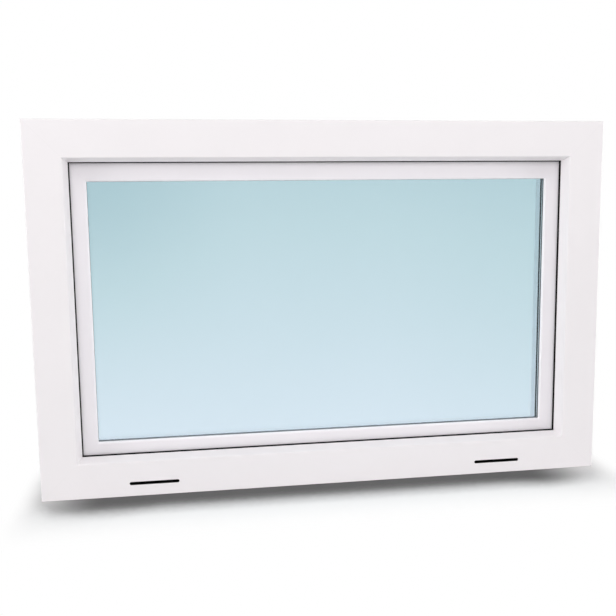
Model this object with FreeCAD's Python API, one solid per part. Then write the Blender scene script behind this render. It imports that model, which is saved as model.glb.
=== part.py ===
import FreeCAD, Part
import math
import os

# Hopper window of white hollow plastic profile, shut, in millimetres.
# X runs along the width, Y from the outside to the inside, Z up.
# The origin is the middle of the underside of the sill, halfway through the frame.
WIDTH = 800.0
HEIGHT = 510.0

# Sections are drawn with "across" measured inwards from the outer edge of the frame
# and "depth" measured from its outside face.
FRAME_DEPTH = 60.0
FRAME_BODY = 30.0
FRAME_LIP = 24.0
LIP_DEPTH = 19.0
LIP_SLOPE = 4.5
LIP_NOSE = 2.0
WALL = 2.8
WEB = 1.5
OUTER_EDGE_R = 1.5
LIP_EDGE_R = 2.0
INNER_EDGE_R = 0.8

# Undercut grooves round the outer edge, which take fixing lugs.
LUG_GROOVE_DEPTH = 2.5
LUG_GROOVE_MOUTH = 8.0
LUG_GROOVE_UNDERCUT = 1.0
LUG_GROOVE_INSET = 13.0

# Front and rear chamber walls of the frame body.
DRAIN_CHAMBER_DEPTH = 22.2
REAR_CHAMBER_DEPTH = 11.7

# Drain slots of the sill.
DRAIN_SLOT_LENGTH = 68.0
DRAIN_SLOT_HEIGHT = 4.6
DRAIN_SLOT_UP = 18.2
DRAIN_SLOT_SPACING = 496.5
REBATE_SLOT_LENGTH = 30.0
REBATE_SLOT_WIDTH = 3.6
REBATE_SLOT_SPACING = 330.0

# Fixing holes through the jambs.
FIXING_HOLE_R = 4.0
FIXING_SPACING = 270.0
FIXING_DEPTH = 35.0

# Sash section. The sash hangs a little low in the frame.
AIRSPACE = 12.0
SASH_DROP = 3.6
SASH_BODY = 18.0
GLAZING_LIP = 15.8
GLAZING_LIP_DEPTH = 5.5
GLAZING_NOSE_R = 2.5
SASH_OVERLAP = 8.0
OVERLAP_DEPTH = 16.5
OVERLAP_EDGE_R = 3.0
FITTING_GROOVE_WIDTH = 12.0
FITTING_GROOVE_DEPTH = 3.0
FITTING_GROOVE_INSET = 7.5

# Seals: the outer one sits behind the frame lip, the inner one on the sash overlap.
OUTER_SEAL_GAP = 4.0
OUTER_SEAL_WIDTH = 8.3
OUTER_SEAL_SHOWING = 1.3
INNER_SEAL_GAP = 3.5
INNER_SEAL_WIDTH = 4.4
INNER_SEAL_INSET = 0.8
SEAL_FOOT_WIDTH = 2.5
SEAL_FOOT_DEPTH = 2.5
SEAL_FOOT_INSET = 1.0
SEAL_NOSE_R = 1.2

# Sealed double glazing.
PANE = 4.0
CAVITY = 6.0
GLASS_EDGE_CLEARANCE = 5.0
SPACER_INSET = 1.0
SPACER_SETBACK = 1.6
SPACER_CORNER = 1.0
GASKET = 2.0
GASKET_WIDTH = 7.0
INNER_GASKET_SETBACK = 2.6

# Glazing beads.
BEAD_STEP = 2.0
BEAD_SETBACK = 3.8
BEAD_NOSE = 4.0
BEAD_NOSE_R = 1.6
BEAD_HEEL = 6.0
BEAD_HEEL_R = 3.0
BEAD_WALL = 1.8
BEAD_FOOT_WIDTH = 3.1
BEAD_FOOT_DEPTH = 3.0
BEAD_FOOT_INSET = 8.5
BEAD_FOOT_CLEARANCE = 0.2

# Handle on the top rail.
ROSETTE_LENGTH = 66.0
ROSETTE_HEIGHT = 28.0
ROSETTE_DEPTH = 9.0
ROSETTE_CORNER_R = 9.0
ROSETTE_CHAMFER = 2.0
COLLAR_R = 12.0
COLLAR_DEPTH = 2.0
LEVER_LENGTH = 118.0
LEVER_STANDOFF = 35.0
LEVER_THICKNESS = 11.0
LEVER_HEIGHT = 18.0
LEVER_BEND_R = 8.0
LEVER_EDGE_R = 4.5
LEVER_END_CHAMFER = 1.5

# Hinges under the bottom rail, on the inside.
HINGE_SPACING = 460.0
HINGE_LENGTH = 66.0
HINGE_LEAF = 2.5
HINGE_BARREL_R = 6.5
HINGE_MIDDLE_KNUCKLE = 28.0
HINGE_KNUCKLE_GAP = 1.0
HINGE_BARREL_CLEARANCE = 2.0
HINGE_ARM = 5.0
FRAME_LEAF_MARGIN = 2.0
SASH_LEAF_MARGIN = 4.5
SASH_LEAF_HEIGHT = 22.0
PIN_R = 3.0
PIN_CLEARANCE = 0.1
PIN_HEAD_R = 5.0
PIN_HEAD = 1.5

# Places that follow from the sizes above, across and in depth.
LIP_TIP = FRAME_BODY + FRAME_LIP
SASH_EDGE = FRAME_BODY + AIRSPACE
GLAZING_BASE = SASH_EDGE + SASH_BODY
SIGHT_LINE = GLAZING_BASE + GLAZING_LIP
OVERLAP_TIP = FRAME_BODY - SASH_OVERLAP
GLASS_EDGE = GLAZING_BASE + GLASS_EDGE_CLEARANCE
SASH_FRONT = LIP_DEPTH + OUTER_SEAL_GAP
LIP_BACK = SASH_FRONT + GLAZING_LIP_DEPTH
GLASS_FRONT = LIP_BACK + GASKET
CAVITY_FRONT = GLASS_FRONT + PANE
CAVITY_BACK = CAVITY_FRONT + CAVITY
GLASS_BACK = CAVITY_BACK + PANE
BEAD_FRONT = GLASS_BACK + GASKET
OVERLAP_BACK = FRAME_DEPTH + INNER_SEAL_GAP
SASH_BACK = OVERLAP_BACK + OVERLAP_DEPTH
BEAD_BACK = SASH_BACK - BEAD_STEP
MITRE_REACH = SIGHT_LINE + WALL
FRAME_MIDDLE = HEIGHT / 2
SASH_MIDDLE = HEIGHT / 2 - SASH_DROP

# Turns about Y that bring a bottom member to each side of the window.
TURNS = {"bottom": 0, "left": 90, "top": 180, "right": 270}

ORIGIN = FreeCAD.Vector(0, 0, 0)
ALONG_X = FreeCAD.Vector(1, 0, 0)
ALONG_Y = FreeCAD.Vector(0, 1, 0)
DOWN = FreeCAD.Vector(0, 0, -1)


def rounded_wire(corners):
    """Closed wire through corner vectors, each with the radius that rounds it."""
    stretches = []
    for i, (corner, radius) in enumerate(corners):
        back = (corners[i - 1][0] - corner).normalize()
        ahead = (corners[(i + 1) % len(corners)][0] - corner).normalize()
        half = back.getAngle(ahead) / 2
        trim = radius / math.tan(half)
        inward = (back + ahead).normalize() if radius else ORIGIN
        middle = corner + inward * (radius / math.sin(half) - radius)
        stretches.append((corner + back * trim, middle, corner + ahead * trim, radius))
    edges = []
    for i, (start, middle, end, radius) in enumerate(stretches):
        if radius:
            edges.append(Part.Arc(start, middle, end).toShape())
        edges.append(Part.makeLine(end, stretches[(i + 1) % len(stretches)][0]))
    return Part.Wire(edges)


def section_wire(points):
    """Wire of a section from (across, depth) or (across, depth, radius) points."""
    corners = []
    for across, depth, *radius in points:
        corners.append((FreeCAD.Vector(0, depth, across), radius[0] if radius else 0.0))
    return rounded_wire(corners)


def section(outer, chambers=()):
    """Face of a profile section with its hollow chambers."""
    wires = [section_wire(outer)]
    wires += [section_wire(chamber) for chamber in chambers]
    return Part.makeFace(wires, "Part::FaceMakerBullseye")


def rectangle(across, depth, width, thickness):
    """Section points of a plain rectangle."""
    return [
        (across, depth),
        (across + width, depth),
        (across + width, depth + thickness),
        (across, depth + thickness),
    ]


def box(size, corner):
    """Box of that size from its lowest corner."""
    return Part.makeBox(*size, FreeCAD.Vector(*corner))


def member(face, middle_height, turn):
    """Length of profile along one side of the window, mitred at both ends."""
    length, across = (WIDTH, HEIGHT) if turn % 180 == 0 else (HEIGHT, WIDTH)
    bar = face.extrude(ALONG_X * length)
    bar.translate(FreeCAD.Vector(-length / 2, 0, -across / 2))
    low = -across / 2
    high = low + MITRE_REACH
    ends = [
        FreeCAD.Vector(-length / 2, 0, low),
        FreeCAD.Vector(length / 2, 0, low),
        FreeCAD.Vector(length / 2 - MITRE_REACH, 0, high),
        FreeCAD.Vector(-length / 2 + MITRE_REACH, 0, high),
    ]
    mitre = Part.Face(Part.makePolygon(ends + ends[:1])).extrude(ALONG_Y * SASH_BACK)
    bar = bar.common(mitre)
    bar.rotate(ORIGIN, ALONG_Y, turn)
    bar.translate(FreeCAD.Vector(0, -FRAME_DEPTH / 2, middle_height))
    return bar.Solids[0]


def ring(face, middle_height):
    """One closed ring of a section round all four sides."""
    sides = [member(face, middle_height, turn) for turn in TURNS.values()]
    return sides[0].fuse(sides[1:]).removeSplitter().Solids[0]


def slot(length, width, depth):
    """Round-ended slot along X, running up in Z."""
    half = (length - width) / 2
    middle = box((2 * half, width, depth), (-half, -width / 2, 0))
    ends = [Part.makeCylinder(width / 2, depth, ALONG_X * s * half) for s in (-1, 1)]
    return middle.fuse(ends)


# Outer frame

def lug_groove(middle):
    """Section points of one undercut groove, walked from the inside to the outside."""
    mouth = LUG_GROOVE_MOUTH / 2
    floor = mouth + LUG_GROOVE_UNDERCUT
    return [
        (0, middle + mouth),
        (LUG_GROOVE_DEPTH, middle + floor),
        (LUG_GROOVE_DEPTH, middle - floor),
        (0, middle - mouth),
    ]


def outer_seal_foot():
    """Across position where the foot of the outer seal begins."""
    return LIP_TIP + OUTER_SEAL_SHOWING - OUTER_SEAL_WIDTH + SEAL_FOOT_INSET


def frame_outline():
    """Outer line of the frame section, with its lip, seal groove and lug grooves."""
    foot = outer_seal_foot()
    return [
        (0, 0, OUTER_EDGE_R),
        (LIP_TIP - LIP_SLOPE, 0, LIP_EDGE_R),
        (LIP_TIP, LIP_DEPTH - LIP_NOSE, INNER_EDGE_R),
        (LIP_TIP, LIP_DEPTH),
        (foot + SEAL_FOOT_WIDTH, LIP_DEPTH),
        (foot + SEAL_FOOT_WIDTH, LIP_DEPTH - SEAL_FOOT_DEPTH),
        (foot, LIP_DEPTH - SEAL_FOOT_DEPTH),
        (foot, LIP_DEPTH),
        (FRAME_BODY, LIP_DEPTH, INNER_EDGE_R),
        (FRAME_BODY, FRAME_DEPTH, INNER_EDGE_R),
        (0, FRAME_DEPTH, OUTER_EDGE_R),
        *lug_groove(FRAME_DEPTH - LUG_GROOVE_INSET),
        *lug_groove(LUG_GROOVE_INSET),
    ]


def frame_chambers():
    """Hollow chambers of the frame: drain, middle, rear and lip."""
    low = LUG_GROOVE_DEPTH + WALL
    height = FRAME_BODY - WALL - low
    middle = WALL + DRAIN_CHAMBER_DEPTH + WEB
    rear = FRAME_DEPTH - WALL - REAR_CHAMBER_DEPTH
    lip_low = FRAME_BODY - WALL + WEB
    lip_high = LIP_TIP - LIP_SLOPE - WALL
    lip_back = LIP_DEPTH - SEAL_FOOT_DEPTH - WALL
    return [
        rectangle(low, WALL, height, DRAIN_CHAMBER_DEPTH),
        rectangle(low, middle, height, rear - WEB - middle),
        rectangle(low, rear, height, REAR_CHAMBER_DEPTH),
        [
            (lip_low, WALL),
            (lip_high, WALL),
            (lip_high + LIP_SLOPE / 2, lip_back),
            (lip_low, lip_back),
        ],
    ]


def drain_slots():
    """Slots through the outside face and, set inwards from them, through the rebate."""
    cuts = []
    for side in (-1, 1):
        outside = slot(DRAIN_SLOT_LENGTH, DRAIN_SLOT_HEIGHT, 2 * WALL)
        outside.rotate(ORIGIN, ALONG_X, -90)
        outside.translate(FreeCAD.Vector(
            side * DRAIN_SLOT_SPACING / 2, -FRAME_DEPTH / 2 - WALL, DRAIN_SLOT_UP))
        rebate = slot(REBATE_SLOT_LENGTH, REBATE_SLOT_WIDTH, 2 * WALL)
        depth = WALL + DRAIN_CHAMBER_DEPTH - REBATE_SLOT_WIDTH
        rebate.translate(FreeCAD.Vector(
            side * REBATE_SLOT_SPACING / 2, depth - FRAME_DEPTH / 2, FRAME_BODY - WALL))
        cuts += [outside, rebate]
    return cuts


def fixing_holes(side):
    """Two holes through one jamb for the screws into the wall."""
    holes = []
    for end in (-1, 1):
        start = FreeCAD.Vector(
            side * WIDTH / 2,
            FIXING_DEPTH - FRAME_DEPTH / 2,
            FRAME_MIDDLE + end * FIXING_SPACING / 2)
        holes.append(Part.makeCylinder(FIXING_HOLE_R, FRAME_BODY, start, ALONG_X * -side))
    return holes


def outer_frame():
    """Sill, head and jambs of the frame."""
    face = section(frame_outline(), frame_chambers())
    sides = {name: member(face, FRAME_MIDDLE, turn) for name, turn in TURNS.items()}
    return {
        "frame_sill": sides["bottom"].cut(drain_slots()),
        "frame_head": sides["top"],
        "frame_left_jamb": sides["left"].cut(fixing_holes(-1)),
        "frame_right_jamb": sides["right"].cut(fixing_holes(1)),
    }


def frame_seal():
    """Seal behind the frame lip, with its foot in the lip groove."""
    foot = outer_seal_foot()
    tip = LIP_TIP + OUTER_SEAL_SHOWING
    return ring(section([
        (tip - OUTER_SEAL_WIDTH, LIP_DEPTH),
        (foot, LIP_DEPTH),
        (foot, LIP_DEPTH - SEAL_FOOT_DEPTH),
        (foot + SEAL_FOOT_WIDTH, LIP_DEPTH - SEAL_FOOT_DEPTH),
        (foot + SEAL_FOOT_WIDTH, LIP_DEPTH),
        (tip, LIP_DEPTH, SEAL_NOSE_R),
        (tip, SASH_FRONT, SEAL_NOSE_R),
        (tip - OUTER_SEAL_WIDTH, SASH_FRONT),
    ]), FRAME_MIDDLE)


# Sash

def inner_seal_foot():
    """Across position where the foot of the inner seal begins."""
    return OVERLAP_TIP + INNER_SEAL_INSET + SEAL_FOOT_INSET


def bead_groove():
    """Depth where the groove for the bead foot begins."""
    return BEAD_BACK - BEAD_FOOT_INSET - BEAD_FOOT_WIDTH - BEAD_FOOT_CLEARANCE


def sash_outline():
    """Outer line of the sash section, with its grooves for bead, seal and fittings."""
    foot = inner_seal_foot()
    groove = bead_groove()
    groove_end = groove + BEAD_FOOT_WIDTH + 2 * BEAD_FOOT_CLEARANCE
    groove_floor = GLAZING_BASE - BEAD_FOOT_DEPTH - BEAD_FOOT_CLEARANCE
    fitting_end = OVERLAP_BACK - FITTING_GROOVE_INSET
    fitting_floor = SASH_EDGE + FITTING_GROOVE_DEPTH
    return [
        (SASH_EDGE, SASH_FRONT, INNER_EDGE_R),
        (SIGHT_LINE, SASH_FRONT, GLAZING_NOSE_R),
        (SIGHT_LINE, LIP_BACK, INNER_EDGE_R),
        (GLAZING_BASE, LIP_BACK),
        (GLAZING_BASE, groove),
        (groove_floor, groove),
        (groove_floor, groove_end),
        (GLAZING_BASE, groove_end),
        (GLAZING_BASE, SASH_BACK, OUTER_EDGE_R),
        (OVERLAP_TIP, SASH_BACK, OVERLAP_EDGE_R),
        (OVERLAP_TIP, OVERLAP_BACK, INNER_EDGE_R / 2),
        (foot, OVERLAP_BACK),
        (foot, OVERLAP_BACK + SEAL_FOOT_DEPTH),
        (foot + SEAL_FOOT_WIDTH, OVERLAP_BACK + SEAL_FOOT_DEPTH),
        (foot + SEAL_FOOT_WIDTH, OVERLAP_BACK),
        (SASH_EDGE, OVERLAP_BACK),
        (SASH_EDGE, fitting_end),
        (fitting_floor, fitting_end),
        (fitting_floor, fitting_end - FITTING_GROOVE_WIDTH),
        (SASH_EDGE, fitting_end - FITTING_GROOVE_WIDTH),
    ]


def sash_chambers():
    """Hollow chambers of the sash: front, behind the fitting groove, and overlap."""
    fitting_start = OVERLAP_BACK - FITTING_GROOVE_INSET - FITTING_GROOVE_WIDTH
    front = SASH_FRONT + WALL
    high = GLAZING_BASE - WALL
    low = SASH_EDGE + WALL
    behind = fitting_start - WALL + WEB
    behind_low = low + FITTING_GROOVE_DEPTH
    overlap_low = inner_seal_foot() + SEAL_FOOT_WIDTH + WALL
    overlap_high = high - BEAD_FOOT_DEPTH - BEAD_FOOT_CLEARANCE
    overlap_front = OVERLAP_BACK + WALL
    return [
        rectangle(low, front, high - low, fitting_start - WALL - front),
        rectangle(behind_low, behind, high - behind_low, OVERLAP_BACK - WALL - behind),
        rectangle(overlap_low, overlap_front, overlap_high - overlap_low, OVERLAP_DEPTH - 2 * WALL),
    ]


def sash():
    """Rails and stiles of the sash."""
    face = section(sash_outline(), sash_chambers())
    names = {
        "bottom": "sash_bottom_rail",
        "left": "sash_left_stile",
        "top": "sash_top_rail",
        "right": "sash_right_stile",
    }
    return {names[side]: member(face, SASH_MIDDLE, turn) for side, turn in TURNS.items()}


def sash_seal():
    """Seal on the sash overlap, with its foot in the overlap groove."""
    foot = inner_seal_foot()
    tip = OVERLAP_TIP + INNER_SEAL_INSET
    return ring(section([
        (tip, FRAME_DEPTH, SEAL_NOSE_R),
        (tip + INNER_SEAL_WIDTH, FRAME_DEPTH, SEAL_NOSE_R),
        (tip + INNER_SEAL_WIDTH, OVERLAP_BACK),
        (foot + SEAL_FOOT_WIDTH, OVERLAP_BACK),
        (foot + SEAL_FOOT_WIDTH, OVERLAP_BACK + SEAL_FOOT_DEPTH),
        (foot, OVERLAP_BACK + SEAL_FOOT_DEPTH),
        (foot, OVERLAP_BACK),
        (tip, OVERLAP_BACK),
    ]), SASH_MIDDLE)


# Glazing

def pane(depth):
    """One glass pane whose outside face lies at that depth."""
    wide = WIDTH - 2 * GLASS_EDGE
    high = HEIGHT - 2 * GLASS_EDGE
    return box((wide, PANE, high), (-wide / 2, depth - FRAME_DEPTH / 2, SASH_MIDDLE - high / 2))


def spacer():
    """Spacer frame between the panes, its hidden outer corners cut off."""
    low = GLASS_EDGE + SPACER_INSET
    high = SIGHT_LINE - SPACER_SETBACK
    return ring(section([
        (low, CAVITY_FRONT + SPACER_CORNER),
        (low + SPACER_CORNER, CAVITY_FRONT),
        (high, CAVITY_FRONT),
        (high, CAVITY_BACK),
        (low + SPACER_CORNER, CAVITY_BACK),
        (low, CAVITY_BACK - SPACER_CORNER),
    ]), SASH_MIDDLE)


def glazing_gasket(depth, high):
    """Rubber strip that beds the glass on one side and ends at that line."""
    return ring(section(rectangle(high - GASKET_WIDTH, depth, GASKET_WIDTH, GASKET)), SASH_MIDDLE)


def bead_section():
    """Hollow glazing bead with a sloping inside face and a foot."""
    groove = bead_groove() + BEAD_FOOT_CLEARANCE
    heel = GLAZING_BASE + BEAD_HEEL
    tip = SIGHT_LINE - BEAD_SETBACK
    outline = [
        (GLAZING_BASE, BEAD_FRONT),
        (tip, BEAD_FRONT, INNER_EDGE_R),
        (tip, BEAD_FRONT + BEAD_NOSE, BEAD_NOSE_R),
        (heel, BEAD_BACK, BEAD_HEEL_R),
        (GLAZING_BASE, BEAD_BACK),
        (GLAZING_BASE, groove + BEAD_FOOT_WIDTH),
        (GLAZING_BASE - BEAD_FOOT_DEPTH, groove + BEAD_FOOT_WIDTH),
        (GLAZING_BASE - BEAD_FOOT_DEPTH, groove),
        (GLAZING_BASE, groove),
    ]
    chamber = [
        (GLAZING_BASE + BEAD_WALL, BEAD_FRONT + BEAD_WALL),
        (tip - BEAD_WALL, BEAD_FRONT + BEAD_WALL),
        (tip - BEAD_WALL, BEAD_FRONT + BEAD_NOSE),
        (heel - BEAD_WALL, BEAD_BACK - BEAD_WALL),
        (GLAZING_BASE + BEAD_WALL, BEAD_BACK - BEAD_WALL),
    ]
    return section(outline, [chamber])


def glazing():
    """Panes, spacer, gaskets and beads."""
    pieces = {
        "outer_glass_pane": pane(GLASS_FRONT),
        "inner_glass_pane": pane(CAVITY_BACK),
        "spacer_frame": spacer(),
        "outer_glazing_gasket": glazing_gasket(LIP_BACK, SIGHT_LINE),
        "inner_glazing_gasket": glazing_gasket(GLASS_BACK, SIGHT_LINE - INNER_GASKET_SETBACK),
    }
    face = bead_section()
    for side, turn in TURNS.items():
        pieces["glazing_bead_" + side] = member(face, SASH_MIDDLE, turn)
    return pieces


# Handle

def handle_height():
    """Height of the middle of the top rail's inside face."""
    return HEIGHT - SASH_DROP - (OVERLAP_TIP + GLAZING_BASE) / 2


def upright_plate(length, height, depth, corner_r):
    """Rounded rectangle on the handle's middle, standing at that Y."""
    level = handle_height()
    corners = []
    for x, z in ((-1, -1), (1, -1), (1, 1), (-1, 1)):
        corner = FreeCAD.Vector(x * length / 2, depth, level + z * height / 2)
        corners.append((corner, corner_r))
    return Part.Face(rounded_wire(corners))


def edges_at(solid, axis, place):
    """Edges of a solid that lie in the plane at that place along X or Y."""
    chosen = []
    for edge in solid.Edges:
        if all(abs(vertex.Point.dot(axis) - place) < WEB / 2 for vertex in edge.Vertexes):
            chosen.append(edge)
    return chosen


def rosette():
    """Rounded plate on the top rail with a collar for the lever."""
    base = SASH_BACK - FRAME_DEPTH / 2
    front = base + ROSETTE_DEPTH
    plate = upright_plate(ROSETTE_LENGTH, ROSETTE_HEIGHT, base, ROSETTE_CORNER_R)
    plate = plate.extrude(ALONG_Y * ROSETTE_DEPTH)
    plate = plate.makeChamfer(ROSETTE_CHAMFER, edges_at(plate, ALONG_Y, front))
    centre = FreeCAD.Vector(0, front, handle_height())
    collar = Part.makeCylinder(COLLAR_R, COLLAR_DEPTH, centre, ALONG_Y)
    return plate.fuse(collar).removeSplitter().Solids[0]


def lever():
    """Rounded bar that leaves the collar, bends and lies along the rail."""
    root = SASH_BACK + ROSETTE_DEPTH + COLLAR_DEPTH - FRAME_DEPTH / 2
    middle = SASH_BACK + LEVER_STANDOFF + LEVER_THICKNESS / 2 - FRAME_DEPTH / 2
    bend_r = LEVER_BEND_R + LEVER_THICKNESS / 2
    pivot = FreeCAD.Vector(bend_r, middle - bend_r, 0)
    start = upright_plate(LEVER_THICKNESS, LEVER_HEIGHT, root, LEVER_EDGE_R)
    neck = start.extrude(ALONG_Y * (pivot.y - root))
    start.translate(ALONG_Y * (pivot.y - root))
    bend = start.revolve(pivot, DOWN, 90)
    start.rotate(pivot, DOWN, 90)
    grip = start.extrude(ALONG_X * (LEVER_LENGTH - bend_r))
    grip = grip.makeChamfer(LEVER_END_CHAMFER, edges_at(grip, ALONG_X, LEVER_LENGTH))
    return neck.fuse([bend, grip]).removeSplitter().Solids[0]


# Hinges

def hinge_axis():
    """Depth and height of the hinge pins."""
    depth = SASH_BACK + HINGE_LEAF - HINGE_BARREL_R
    height = OVERLAP_TIP - SASH_DROP - HINGE_BARREL_CLEARANCE - HINGE_BARREL_R
    return depth - FRAME_DEPTH / 2, height


def barrel(radius, start, length):
    """Round bar on the hinge axis from that X."""
    depth, height = hinge_axis()
    return Part.makeCylinder(radius, length, FreeCAD.Vector(start, depth, height), ALONG_X)


def frame_leaf(middle):
    """Leaf on the frame with an arm out to the middle knuckle."""
    depth, height = hinge_axis()
    face = FRAME_DEPTH / 2
    top = OVERLAP_TIP - SASH_DROP - FRAME_LEAF_MARGIN
    start = middle - HINGE_MIDDLE_KNUCKLE / 2
    plate = box(
        (HINGE_LENGTH, HINGE_LEAF, top - FRAME_LEAF_MARGIN),
        (middle - HINGE_LENGTH / 2, face, FRAME_LEAF_MARGIN))
    arm = box(
        (HINGE_MIDDLE_KNUCKLE, depth - face, HINGE_ARM),
        (start, face, height - HINGE_ARM / 2))
    knuckle = barrel(HINGE_BARREL_R, start, HINGE_MIDDLE_KNUCKLE)
    bore = barrel(PIN_R + PIN_CLEARANCE, start, HINGE_MIDDLE_KNUCKLE)
    return plate.fuse([arm, knuckle]).removeSplitter().cut(bore).Solids[0]


def sash_leaf(middle):
    """Leaf on the bottom rail with straps down to the two end knuckles."""
    depth, height = hinge_axis()
    face = SASH_BACK - FRAME_DEPTH / 2
    foot = OVERLAP_TIP - SASH_DROP + SASH_LEAF_MARGIN
    start = middle - HINGE_LENGTH / 2
    knuckle = (HINGE_LENGTH - HINGE_MIDDLE_KNUCKLE) / 2 - HINGE_KNUCKLE_GAP
    leaf = box((HINGE_LENGTH, HINGE_LEAF, SASH_LEAF_HEIGHT), (start, face, foot))
    additions = []
    for x in (start, start + HINGE_LENGTH - knuckle):
        additions.append(box((knuckle, HINGE_LEAF, foot - height), (x, face, height)))
        additions.append(barrel(HINGE_BARREL_R, x, knuckle))
    bore = barrel(PIN_R + PIN_CLEARANCE, start, HINGE_LENGTH)
    return leaf.fuse(additions).removeSplitter().cut(bore).Solids[0]


def hinge_pin(middle):
    """Pin through the three knuckles with a flat head at each end."""
    start = middle - HINGE_LENGTH / 2
    shank = barrel(PIN_R, start, HINGE_LENGTH)
    heads = [
        barrel(PIN_HEAD_R, start - PIN_HEAD, PIN_HEAD),
        barrel(PIN_HEAD_R, start + HINGE_LENGTH, PIN_HEAD),
    ]
    return shank.fuse(heads).removeSplitter().Solids[0]


def hinges():
    """The two hinges of the bottom rail."""
    pieces = {}
    for side, sign in (("left", -1), ("right", 1)):
        middle = sign * HINGE_SPACING / 2
        pieces[side + "_hinge_frame_leaf"] = frame_leaf(middle)
        pieces[side + "_hinge_sash_leaf"] = sash_leaf(middle)
        pieces[side + "_hinge_pin"] = hinge_pin(middle)
    return pieces


def window():
    """All pieces of the window by node name."""
    return {
        **outer_frame(),
        "frame_seal": frame_seal(),
        **sash(),
        "sash_seal": sash_seal(),
        **glazing(),
        "handle_rosette": rosette(),
        "handle_lever": lever(),
        **hinges(),
    }


os.makedirs("parts", exist_ok=True)
for node, solid in window().items():
    solid.exportStep(os.path.join("parts", node + ".step"))
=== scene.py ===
import logging
import math
from collections.abc import Iterable, Mapping, Sequence
from dataclasses import dataclass
from enum import Enum
from typing import Any

import bmesh
import bpy
from bmesh.types import BMEdge, BMFace, BMVert
from mathutils import Matrix, Vector


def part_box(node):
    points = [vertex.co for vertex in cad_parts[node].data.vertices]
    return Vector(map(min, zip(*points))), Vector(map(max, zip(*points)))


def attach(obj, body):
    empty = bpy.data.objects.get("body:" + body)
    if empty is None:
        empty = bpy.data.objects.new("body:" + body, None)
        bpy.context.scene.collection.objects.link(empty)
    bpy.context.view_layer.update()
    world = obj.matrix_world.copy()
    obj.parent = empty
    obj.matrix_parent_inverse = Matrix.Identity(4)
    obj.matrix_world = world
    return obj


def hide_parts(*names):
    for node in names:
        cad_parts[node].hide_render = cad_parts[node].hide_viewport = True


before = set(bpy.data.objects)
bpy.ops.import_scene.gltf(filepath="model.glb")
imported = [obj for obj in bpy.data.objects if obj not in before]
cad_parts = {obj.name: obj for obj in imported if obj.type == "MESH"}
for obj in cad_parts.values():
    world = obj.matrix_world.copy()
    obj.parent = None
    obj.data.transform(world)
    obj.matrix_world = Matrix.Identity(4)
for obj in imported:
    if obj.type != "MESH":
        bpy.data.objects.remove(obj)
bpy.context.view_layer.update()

LOG = logging.getLogger("hopper_window")

MM = 0.001
# Vertices nearer than MERGE become one; places nearer than TOUCH count as the same.
MERGE = 0.001 * MM
TOUCH = 0.1 * MM
X_AXIS = Vector((1, 0, 0))
Y_AXIS = Vector((0, 1, 0))
Z_AXIS = Vector((0, 0, 1))

Pair = tuple[float, float]
Triple = tuple[float, float, float]
Colour = tuple[float, float, float, float]


class Slot(Enum):
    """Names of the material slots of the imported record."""

    RUBBER = "seal_rubber"
    SPACER = "spacer_metal"
    HANDLE = "handle_coat"
    HINGE = "hinge_coat"
    PIN = "hinge_pin_steel"


class Hand(Enum):
    """The two hinges, by the sign of their place along X."""

    LEFT = -1
    RIGHT = 1


# Shader maths

class Wire:
    """One output socket that takes part in Python expressions."""

    def __init__(self, bench: "Bench", socket: bpy.types.NodeSocket | None) -> None:
        """Keeps the bench and the socket, which an output node has not."""
        self.bench = bench
        self.socket = socket

    def other(self, output: int | str) -> "Wire":
        """Gives another output of the same node."""
        return Wire(self.bench, self.socket.node.outputs[output])

    def math(self, operation: str, *terms: "Term") -> "Wire":
        """Adds a Math node.

        Args:
            operation: The node's operation.
            terms: Its values, in order.

        Returns:
            The result.
        """
        sockets = dict(enumerate(terms))
        return self.bench.node("ShaderNodeMath", {"operation": operation}, sockets)

    def __add__(self, term: "Term") -> "Wire":
        """Adds."""
        return self.math("ADD", self, term)

    __radd__ = __add__

    def __sub__(self, term: "Term") -> "Wire":
        """Takes away."""
        return self.math("SUBTRACT", self, term)

    def __rsub__(self, term: "Term") -> "Wire":
        """Takes this from a number."""
        return self.math("SUBTRACT", term, self)

    def __mul__(self, term: "Term") -> "Wire":
        """Multiplies."""
        return self.math("MULTIPLY", self, term)

    __rmul__ = __mul__

    def __truediv__(self, term: "Term") -> "Wire":
        """Divides."""
        return self.math("DIVIDE", self, term)

    def __abs__(self) -> "Wire":
        """Drops the sign."""
        return self.math("ABSOLUTE", self)

    def __gt__(self, term: "Term") -> "Wire":
        """Gives 1 where this is the greater."""
        return self.math("GREATER_THAN", self, term)

    def __lt__(self, term: "Term") -> "Wire":
        """Gives 1 where this is the less."""
        return self.math("LESS_THAN", self, term)

    def least(self, term: "Term") -> "Wire":
        """Gives the smaller of the two."""
        return self.math("MINIMUM", self, term)

    def most(self, term: "Term") -> "Wire":
        """Gives the larger of the two."""
        return self.math("MAXIMUM", self, term)

    def rise(self, start: float, end: float) -> "Wire":
        """Gives a smooth step.

        Args:
            start: Value at which the step is 0.
            end: Value at which it is 1.

        Returns:
            The step, from 0 to 1.
        """
        return self.bench.node(
            "ShaderNodeMapRange",
            {"interpolation_type": "SMOOTHSTEP"},
            {"Value": self, "From Min": start, "From Max": end})

    def within(self, low: float, high: float) -> "Wire":
        """Gives 1 where this lies between the two."""
        return (self > low) * (self < high)


Term = Wire | float


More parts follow.
